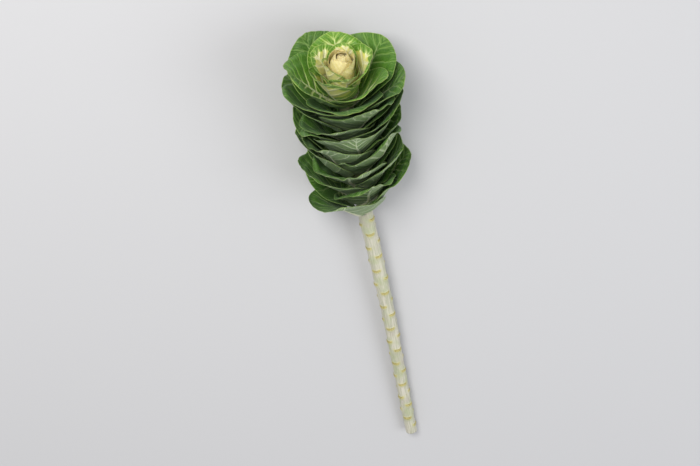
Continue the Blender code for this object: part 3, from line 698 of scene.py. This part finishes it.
def stem_material():
    g = Nodes("kale_stem")
    vec, along, around, cut = g.attr("st")  # mm along, mm round, 1 on the cut face
    _, sx, sw, sr = g.attr("sc")  # mm across the nearest scar, mm above it, its own number
    pos, qx, qy, qz = g.attr("sq")  # a seamless place: radius directions in mm and mm along
    streak = g.noise(g.join(g.m("MULTIPLY", qx, 1.0), g.m("MULTIPLY", qy, 1.0), g.m("MULTIPLY", qz, 0.07)), 0.55, 4.0, 0.6)
    fine = g.noise(g.join(qx, qy, g.m("MULTIPLY", qz, 0.05)), 1.9, 3.0, 0.6)
    patch = g.noise(pos, 0.045, 3.0, 0.6)
    col = g.ramp(streak, [(0.25, (140, 143, 118)), (0.43, (173, 173, 150)), (0.57, (195, 191, 174)), (0.8, (209, 204, 193))])
    col = g.mix(g.m("MULTIPLY", g.step(patch, 0.42, 0.66), 0.62), col, lin((162, 172, 128)))
    col = g.mix(g.m("MULTIPLY", g.step(g.noise(pos, 0.06, 2.0), 0.55, 0.75), 0.35), col, lin((176, 160, 158)))
    col = g.mix(g.m("MULTIPLY", g.step(fine, 0.35, 0.75), 0.25), col, lin((226, 223, 214)))
    # scar: an ochre crescent with a darker upper line and green-yellow shoulders
    ax = g.m("ABSOLUTE", sx)
    bend = g.m("MULTIPLY", g.m("MULTIPLY", ax, ax), 0.028)
    wob = g.m("MULTIPLY", g.m("SUBTRACT", g.noise(pos, 0.9, 2.0), 0.5), 1.4)
    h = g.m("ADD", g.m("SUBTRACT", sw, bend), wob)
    inside = g.step(g.m("ADD", ax, g.m("MULTIPLY", g.m("SUBTRACT", g.noise(pos, 0.35, 2.0), 0.5), 3.0)), 4.6, 6.6, 1.0, 0.0)
    band = g.m("MULTIPLY", g.m("MULTIPLY", g.step(h, -2.6, -0.9), g.step(h, 0.7, 1.6, 1.0, 0.0)), inside)
    glow = g.m("MULTIPLY", g.m("MULTIPLY", g.step(h, -6.5, -0.8), g.step(h, 0.5, 3.4, 1.0, 0.0)), g.step(ax, 4.5, 9.0, 1.0, 0.0))
    col = g.mix(g.m("MULTIPLY", glow, 0.5), col, lin((188, 188, 120)))
    col = g.mix(g.m("MULTIPLY", band, 0.78), col, g.mix(g.step(g.noise(pos, 0.55, 3.0), 0.35, 0.65), lin((192, 180, 106)), lin((160, 145, 76))))
    rimd = g.m("MULTIPLY", g.m("MULTIPLY", g.step(h, 0.25, 0.8), g.step(h, 0.9, 1.5, 1.0, 0.0)), g.step(ax, 3.4, 4.8, 1.0, 0.0))
    col = g.mix(g.m("MULTIPLY", rimd, g.line(g.noise(pos, 0.5, 2.0), 0.4, 0.62, 0.15, 0.8)), col, lin((128, 108, 58)))
    dots = g.m("MULTIPLY", g.step(g.cells(g.join(sx, g.m("MULTIPLY", sw, 1.6), g.m("MULTIPLY", sr, 31.0)), 0.5, "F1", 0.8), 0.10, 0.34, 1.0, 0.0), band)
    col = g.mix(g.m("MULTIPLY", dots, 0.75), col, lin((112, 88, 36)))
    speck = g.step(g.cells(pos, 0.26, "F1"), 0.05, 0.11, 1.0, 0.0)
    col = g.mix(g.m("MULTIPLY", speck, g.m("MULTIPLY", g.step(patch, 0.45, 0.6), 0.7)), col, lin((128, 104, 66)))
    # painted shade: the stem inside the head turns a darker green, so that glimpses of it between the leaf bases read
    # as deep shade
    col = g.mix(g.m("MULTIPLY", g.step(qz, -24.0, -4.0), 0.9), col, g.mix(streak, lin((78, 92, 52)), lin((118, 126, 82))))
    # cut face: green skin, white fibre ring, cream pith
    rr = g.m("SQRT", g.m("ADD", g.m("MULTIPLY", qx, qx), g.m("MULTIPLY", qy, qy)))
    face = g.ramp(g.m("DIVIDE", rr, 8.0), [(0.0, (226, 222, 178)), (0.5, (222, 222, 180)), (0.66, (196, 206, 140)), (0.72, (232, 232, 206)), (0.86, (236, 234, 210)), (0.92, (150, 168, 96)), (1.0, (190, 190, 150))])
    rays = g.noise(g.join(qx, qy, 3.0), 0.9, 3.0)
    face = g.mix(g.m("MULTIPLY", g.step(rays, 0.45, 0.7), 0.4), face, lin((206, 200, 150)))
    col = g.mix(cut, col, face)
    g.put(g.bsdf.inputs["Base Color"], col)
    g.put(g.bsdf.inputs["Roughness"], g.line(streak, 0.3, 0.7, 0.36, 0.52))
    g.bsdf.inputs["Specular IOR Level"].default_value = 0.5
    relief = g.m("ADD", g.m("MULTIPLY", streak, 0.35), g.m("ADD", g.m("MULTIPLY", fine, 0.25), g.m("SUBTRACT", g.m("MULTIPLY", rimd, 0.6), g.m("MULTIPLY", dots, 0.6))))
    g.put(g.bsdf.inputs["Normal"], g.bump(relief, 0.0006, 0.7))
    return g.mat


LEAF_MAT = leaf_material()
STEM_MAT = stem_material()


def leaf_frame(leaf, xy):
    """Distance across and along the flat leaf, in mm."""
    length = float(level_value(T_LENGTH, leaf["s"])) * leaf["size"]
    x = (xy[:, 0] + leaf["skew"] * xy[:, 1] ** 2 * (1 - np.abs(xy[:, 0]))) * length * leaf["wide"]
    return x, xy[:, 1] * length, length


def leaf_inner(leaf, xy, up):
    """The same points as leaf_points, moved inwards by up levels."""
    x, _, _ = leaf_frame(leaf, xy)
    u = xy[:, 1] * leaf["size"]
    a = leaf["azimuth"] + x / leaf_rho(leaf, u)
    return head_point(leaf_level(leaf, u, a) + up, u, a)


def cream_reach(s):
    levels = [0, 20, 24, 26, 28, 29, 30, 31, 32, 33, 34, 35, 36, 37, 38]
    return float(np.interp(s, levels, [-0.30, -0.22, -0.02, 0.14, 0.34, 0.46, 0.62, 0.70, 0.76, 0.80, 0.80, 0.86, 0.92, 1.0, 1.3]))


FOOT = {2: (2.4, 0.12, 0.12), 3: (1.6, 0.10, 0.09)}  # more width, where along the leaf, over how much of it


def build_leaf(i, leaf):
    s = leaf["s"]
    cols, rows = (61, 56) if s < 34 else (61, 50)
    rng = np.random.default_rng(1000 + i)
    ta = np.linspace(-1, 1, cols)
    ta = np.sign(ta) * np.abs(ta) ** 1.25
    tb = np.linspace(0, 1, rows)
    bb, aa = np.meshgrid(tb, ta, indexing="ij")
    a, b = np.round(aa.ravel(), 7), np.round(bb.ravel(), 7)
    xy = leaf_plane(a, b)
    x, y, length = leaf_frame(leaf, xy)
    # distance to the margin, base edge left out
    edge_ids = np.concatenate([np.arange(rows) * cols, np.arange(rows) * cols + cols - 1, (rows - 1) * cols + np.arange(cols)])
    ex, ey = x[edge_ids], y[edge_ids]
    dist = np.sqrt(np.min((x[:, None] - ex[None]) ** 2 + (y[:, None] - ey[None]) ** 2, axis=1))
    base = np.hypot(x, y - 0.08 * length)
    near = base / np.maximum(base + dist, 1e-6)
    phase, per = vein_phase(xy[:, 0], xy[:, 1], rng.uniform(0.35, 0.65))
    phase = phase + rng.uniform(-0.25, 0.25)
    per = per * length
    sparse = 1 - 0.40 * smooth((s - 28.5) / 3.0)
    phase, per = phase * sparse, per / sparse
    t = xy[:, 1]
    bud = smooth((s - 35.5) / 2.0)
    # fine ripple of the margin, puckers between veins
    turn = np.arctan2(xy[:, 0], t - 0.45)
    arc = turn * 0.5 * length
    k = rng.uniform(-1, 1, 6)
    ripple = np.sin(arc / 3.1 + 5 * k[0]) * 0.5 + np.sin(arc / 5.3 + 5 * k[1] + 0.03 * arc) * 0.5
    blade = smooth((t - 0.12) / 0.15)
    off = (0.55 - 0.1 * bud) * ripple * smooth((9.0 - dist) / 8.0) * blade
    pucker = np.abs(np.sin(math.pi * phase)) ** 0.8 * smooth(dist / 10.0) * smooth(np.abs(x) / 7.0) * blade
    off = off + (0.55 * pucker - 0.25) * (1 - 0.7 * bud)
    frill = np.sin(arc / 1.05 + 3 * k[2]) * 0.55 + np.sin(arc / 0.71 + 7 * k[3]) * 0.45
    off = off + bud * 0.45 * frill * smooth((3.2 - dist) / 3.0)
    # small swells of the outline itself
    shrink = (0.30 * np.sin(arc / 6.3 + 6 * k[4]) + 0.16 * np.sin(arc / 3.3 + 6 * k[5]) - 0.35) * smooth((8.0 - dist) / 8.0) * blade
    shrink = shrink + bud * (0.30 * np.sin(arc / 0.8) - 0.2) * smooth((2.5 - dist) / 2.5)
    away = xy - np.array([0.0, 0.5])
    xy2 = xy + away / np.maximum(np.linalg.norm(away, axis=1, keepdims=True), 1e-6) * (shrink / length)[:, None]
    xy2[:, 1] = np.clip(xy2[:, 1], 0.0, 1.04)
    # the lowest leaves clasp the stem with a broader foot
    foot = FOOT.get(i, (0.0, 0.1, 0.1))
    xy2[:, 0] *= 1 + foot[0] * np.exp(-(((t - foot[1]) / foot[2]) ** 2))
    mid = leaf_points(leaf, xy2)
    n = grid_normals(mid.reshape(rows, cols, 3)).reshape(-1, 3)
    # the upper face looks towards the head's axis
    if (n * (leaf_inner(leaf, xy2, 0.2) - mid)).sum() < 0:
        n = -n
    mid = mid + n * off[:, None]
    m = grid_normals(mid.reshape(rows, cols, 3)).reshape(-1, 3)
    n = m if (n * m).sum() > 0 else -m
    thin = leaf["thick"] * 0.62
    half = 0.5 * thin * (0.55 + 0.45 * smooth(dist / 2.5))
    ribw = 0.6 + 2.3 * (1 - smooth(t / 0.9))
    rib = (leaf["stalk"] * 0.62 * (1 - smooth(t / 0.95)) + 0.12) * np.exp(-((x / ribw) ** 2))
    flat = 0.5 * leaf["stalk"] * (1 - smooth((t - 0.05) / 0.16)) * smooth(dist / 2.0) * 0.8
    groove = 0.25 * np.exp(-((x / (0.5 * ribw + 0.3)) ** 2)) * (1 - smooth(t / 0.8))
    top = mid + n * (half + 0.3 * flat - groove)[:, None]
    bottom = mid - n * (half + 0.7 * flat + rib)[:, None]
    for q in (top, bottom):
        q[:, 2] = np.where(q[:, 2] < 0.8, 0.08 + 0.72 * np.exp((q[:, 2] - 0.8) / 0.72), q[:, 2])
    faces, verts, ring = two_sided(top, bottom, rows, cols)
    # winding: the top grid must face along n
    f0 = faces[(rows // 2) * (cols - 1) + cols // 2]
    fn = np.cross(verts[f0[1]] - verts[f0[0]], verts[f0[2]] - verts[f0[0]])
    if fn @ n[f0[0]] < 0:
        faces = faces[:, ::-1]
    count = len(x)
    cream = cream_reach(s) + 0.04 * rng.uniform(-1, 1)
    age = float(np.interp(s, [18, 24, 28, 30], [1.0, 0.75, 0.25, 0.0])) * rng.uniform(0.88, 1.0)
    # on ring leaves the green is a band of even width along the margin
    band = float(np.interp(s, [29, 31, 32, 33, 34, 35, 36.5], [17.0, 13.5, 10.5, 8.0, 6.2, 4.8, 3.0]))
    inward = np.where(dist < band, 0.34 * (1 - dist / band), -0.34 * np.minimum((dist - band) / band, 1.0))
    inward = inward + 0.12 * np.clip((band - dist) / 1.2, -1, 1)
    ringed = smooth((s - 29.0) / 2.5)
    near = near * (1 - ringed) + (cream + inward) * ringed
    one = np.ones(2 * count)

    def both(v):
        return np.concatenate([v, v])

    attrs = {
        "lp": np.stack([both(x), both(y), np.concatenate([np.ones(count), -np.ones(count)])], -1),
        "lf": np.stack([both(phase), both(dist), both(near)], -1),
        "lg": np.stack([both(per), one * cream, one * age], -1),
        "lc": np.stack([one * float(rng.uniform(0, 1)), one * length, one * bud], -1),
    }
    name = "kale_leaf_%02d" % (i + 1)
    return new_piece(name, verts, faces, LEAF_MAT, attrs, ["leaf_%02d" % (i + 1)])


for i, leaf in enumerate(LEAVES):
    build_leaf(i, leaf)

# ======================================================================================================================
# Heart: small rolled leaves round the growing point
# ======================================================================================================================
def build_heart():
    rng = np.random.default_rng(77)
    verts, faces, at = [], [], {"lp": [], "lf": [], "lg": [], "lc": []}
    start = 0
    n_in = 5
    for k in range(n_in):
        closed = k == n_in - 1  # the innermost one is a closed tip
        s = 46.05 if closed else 44.2 + 0.55 * k
        rows, cols = 26, 41
        az = 0.9 - math.radians(137.5) * k
        wrap = 3.13 if closed else 1.55 + 0.15 * rng.uniform(-1, 1)
        top_u = 0.98 + 0.004 * k + 0.02 * rng.uniform(-1, 1)
        tb, ta = np.linspace(0, 1, rows), np.linspace(-1, 1, cols)
        bb, aa = np.meshgrid(tb, ta, indexing="ij")
        a, b = aa.ravel(), bb.ravel()
        rim = np.full(len(a), 0.985) if closed else top_u - 0.16 * np.abs(a) ** 2.6
        u = 0.15 + (rim - 0.15) * b
        length = float(level_value(T_LENGTH, s))
        dist = (rim - u) * length if closed else np.minimum((rim - u) * length, (1 - np.abs(a)) * wrap * 5.0)
        arc = a * wrap * 5.0
        fr = np.sin(arc / 0.42 + 9 * rng.uniform()) * 0.6 + np.sin(arc / 0.27 + 4 * rng.uniform()) * 0.4
        level = s + (0.0 if closed else 0.22 * fr * smooth((2.2 - dist) / 2.2) + 0.25 * a * a)
        p = head_point(level, u, az + a * wrap)
        n = grid_normals(p.reshape(rows, cols, 3)).reshape(-1, 3)
        tw = head_point(level + 0.3, u, az + a * wrap) - p
        if (n * tw).sum() < 0:
            n = -n
        top, bot = p + n * 0.26, p - n * 0.26
        f, v, _ = two_sided(top, bot, rows, cols)
        f0 = f[(rows // 2) * (cols - 1) + cols // 2]
        if np.cross(v[f0[1]] - v[f0[0]], v[f0[2]] - v[f0[0]]) @ n[f0[0]] < 0:
            f = f[:, ::-1]
        verts.append(v)
        faces.append(f + start)
        start += len(v)
        m = len(a)
        both = lambda q: np.concatenate([q, q])
        one = np.ones(2 * m)
        at["lp"].append(np.stack([both(arc), both(u * length), np.concatenate([np.ones(m), -np.ones(m)])], -1))
        at["lf"].append(np.stack([both(a * 3.0), both(dist), both(b)], -1))
        at["lg"].append(np.stack([one * 4.0, one * 1.2, one * 0.0], -1))
        at["lc"].append(np.stack([one * rng.uniform(), one * length, one], -1))
    return new_piece("kale_heart", np.vstack(verts), np.vstack(faces), LEAF_MAT, {k: np.vstack(v) for k, v in at.items()}, ["heart_bud"])


build_heart()

# ======================================================================================================================
# Stem
# ======================================================================================================================
TOP_W = 184.0


def stem_radius(w):
    inside = np.interp(w, T_HEIGHT, T_RADIUS) - GAP - 0.2 - 0.5 * np.interp(w, [150.0, 184.0], [2.6, 1.4])
    outside = R_CUT + (R_NECK - R_CUT) * smooth((w + BARE_STEM) / (BARE_STEM + 30.0))
    r = np.minimum(inside, outside)
    return r * np.interp(w, [TOP_W - 12, TOP_W - 4, TOP_W], [1.0, 0.8, 0.35])


def scars():
    top = HEIGHT[2] - 6.0
    n = int((BARE_STEM + top - 4.0) / SCAR_STEP)
    return [(top - SCAR_STEP * k, math.radians(FIRST_AZIMUTH + GOLDEN * (FIRST_LEVEL - 1 - k))) for k in range(n)]


def build_stem():
    around = 72
    step = 0.75
    ws = np.concatenate([np.arange(-BARE_STEM, 10.0, step), np.linspace(12.0, TOP_W, 40)])
    th = np.arange(around) * 2 * math.pi / around
    W, A = np.meshgrid(ws, th, indexing="ij")
    r = stem_radius(W)
    best = np.full(W.shape, 1e9)
    sx, sw, sr = np.full(W.shape, 50.0), np.full(W.shape, 50.0), np.zeros(W.shape)
    rng = np.random.default_rng(5)
    for k, (w0, a0) in enumerate(scars()):
        da = turned(A - a0)
        dx, dw = da * r, W - w0
        rise = SCAR_RISE * (1.25 + 0.5 * rng.uniform())
        h = dw - 0.028 * dx * dx
        across = np.exp(-((dx / 5.8) ** 4))
        # a shelf that rises slowly from below and drops quickly above, as where a leaf stalk broke off
        shelf = np.where(h < 0, np.exp(-((h / 4.2) ** 2)), np.exp(-((h / 1.3) ** 2)))
        r = r + rise * shelf * across - 0.35 * np.exp(-(((h - 0.2) / 0.9) ** 2)) * np.exp(-((dx / 3.4) ** 4))
        score = dx * dx / 30.0 + dw * dw / 14.0
        near = score < best
        best = np.where(near, score, best)
        sx, sw, sr = np.where(near, dx, sx), np.where(near, dw, sw), np.where(near, float(k) * 0.37 % 1.0, sr)
    # away from every scar the distance across is set large, so that no scar shows where the nearest one changes
    sx = np.where((sw < -6.8) | (sw > 5.5) | (np.abs(sx) > 9.5), 60.0, sx)
    wob = 0.16 * np.sin(A * 3 + W / 17.0) + 0.12 * np.sin(A * 5 - W / 11.0 + 1.0) + 0.08 * np.sin(A * 9 + W / 31.0)
    r = r + wob * smooth((W + BARE_STEM + 1) / 4.0)
    p = to_world((r * np.cos(A)).ravel(), (r * np.sin(A)).ravel(), W.ravel())
    rows = len(ws)
    i, j = np.meshgrid(np.arange(rows - 1), np.arange(around), indexing="ij")
    a = (i * around + j).ravel()
    b = (i * around + (j + 1) % around).ravel()
    faces = [np.stack([a, b, b + around, a + around], -1)]
    # closed ends: rings that shrink to a small hole patched by a last quad ring onto the centre
    verts = [p]
    total = len(p)
    st = [np.stack([W.ravel(), (A * r).ravel(), np.zeros(W.size)], -1)]
    sc = [np.stack([sx.ravel(), sw.ravel(), sr.ravel()], -1)]
    sq = [np.stack([(r * np.cos(A)).ravel(), (r * np.sin(A)).ravel(), W.ravel()], -1)]
    for end, row in ((0, 0), (1, rows - 1)):
        prev = np.arange(around) + row * around
        for share in (0.93, 0.8, 0.6, 0.4, 0.2, 0.02):
            rr = r[row] * share
            w0 = ws[row] + (-0.25 if end == 0 else 0.4) * (1 - share**2) * (0.0 if share > 0.9 else 1.0)
            w0 = w0 + (0.5 * share**2 if end == 0 and share < 0.75 else 0.0)
            x, y = rr * np.cos(th), rr * np.sin(th)
            q = to_world(x, y, np.full(around, w0))
            ids = np.arange(around) + total
            f = np.stack([prev, np.roll(prev, -1), np.roll(ids, -1), ids], -1)
            faces.append(f if end == 1 else f[:, ::-1])
            verts.append(q)
            cutv = np.full(around, 1.0 if end == 0 else 0.0)
            st.append(np.stack([np.full(around, w0), th * rr, cutv], -1))
            sc.append(np.stack([np.full(around, 50.0)] * 2 + [np.zeros(around)], -1))
            sq.append(np.stack([x, y, np.full(around, w0)], -1))
            prev = ids
            total += around
    v, f = np.vstack(verts), np.vstack(faces)
    f0 = f[0]
    outward = v[f0[0]] - p.reshape(rows, around, 3)[0].mean(0)
    if np.cross(v[f0[1]] - v[f0[0]], v[f0[2]] - v[f0[0]]) @ outward < 0:
        f = f[:, ::-1]
    return new_piece("kale_stem", v, f, STEM_MAT, {"st": np.vstack(st), "sc": np.vstack(sc), "sq": np.vstack(sq)}, ["stem"])


build_stem()

# ======================================================================================================================
# Floor, light, camera
# ======================================================================================================================
scene = bpy.context.scene
bpy.ops.mesh.primitive_plane_add(size=8.0)
floor = bpy.context.object
floor.name = "floor"
fm = bpy.data.materials.new("floor")
fm.use_nodes = True
fb = fm.node_tree.nodes["Principled BSDF"]
fb.inputs["Base Color"].default_value = lin((195, 195, 197))
fb.inputs["Roughness"].default_value = 0.7
fb.inputs["Specular IOR Level"].default_value = 0.2
floor.data.materials.append(fm)

world = bpy.data.worlds.new("studio")
scene.world = world
world.use_nodes = True
bg = world.node_tree.nodes["Background"]
bg.inputs[0].default_value = (0.98, 0.98, 1.0, 1.0)
bg.inputs[1].default_value = 0.58


def area(name, where, at, size, power, colour=(1, 1, 1)):
    light = bpy.data.lights.new(name, "AREA")
    light.shape = "DISK"
    light.size = size
    light.energy = power
    light.color = colour
    ob = bpy.data.objects.new(name, light)
    scene.collection.objects.link(ob)
    ob.location = where
    ob.rotation_euler = (Vector(where) - Vector(at)).to_track_quat("Z", "Y").to_euler()
    return ob


area("key", (-0.5, 1.35, 1.7), (0.0, 0.15, 0.05), 1.0, 34.0, (1.0, 0.985, 0.95))
area("fill", (1.4, -0.3, 1.5), (0.0, 0.1, 0.05), 1.4, 14.0, (0.95, 0.98, 1.0))

ELEV, ROLL, SCALE = 63.0, 12.0, 0.80
e = math.radians(ELEV)
d = Vector((0.0, math.cos(e), math.sin(e)))
cam = bpy.data.cameras.new("camera")
cam.lens = 85.0
cam.sensor_width = 36.0
cam.clip_end = 50.0
camera = bpy.data.objects.new("camera", cam)
scene.collection.objects.link(camera)
f = -d
up = (Vector((0, 1, 0)) - f * f.y).normalized()
right = f.cross(up)
rl = math.radians(ROLL)
up = up * math.cos(rl) + right * math.sin(rl)
right = f.cross(up)
target = Vector((0.004, 0.0, 0.06)) - right * 0.040 + up * 0.028
place = target + d * (0.700 / SCALE * 85.0 / 36.0)
camera.matrix_world = Matrix.Translation(place) @ Matrix((right, up, -f)).transposed().to_4x4()
scene.camera = camera

scene.view_settings.view_transform = "Standard"
scene.view_settings.look = "None"
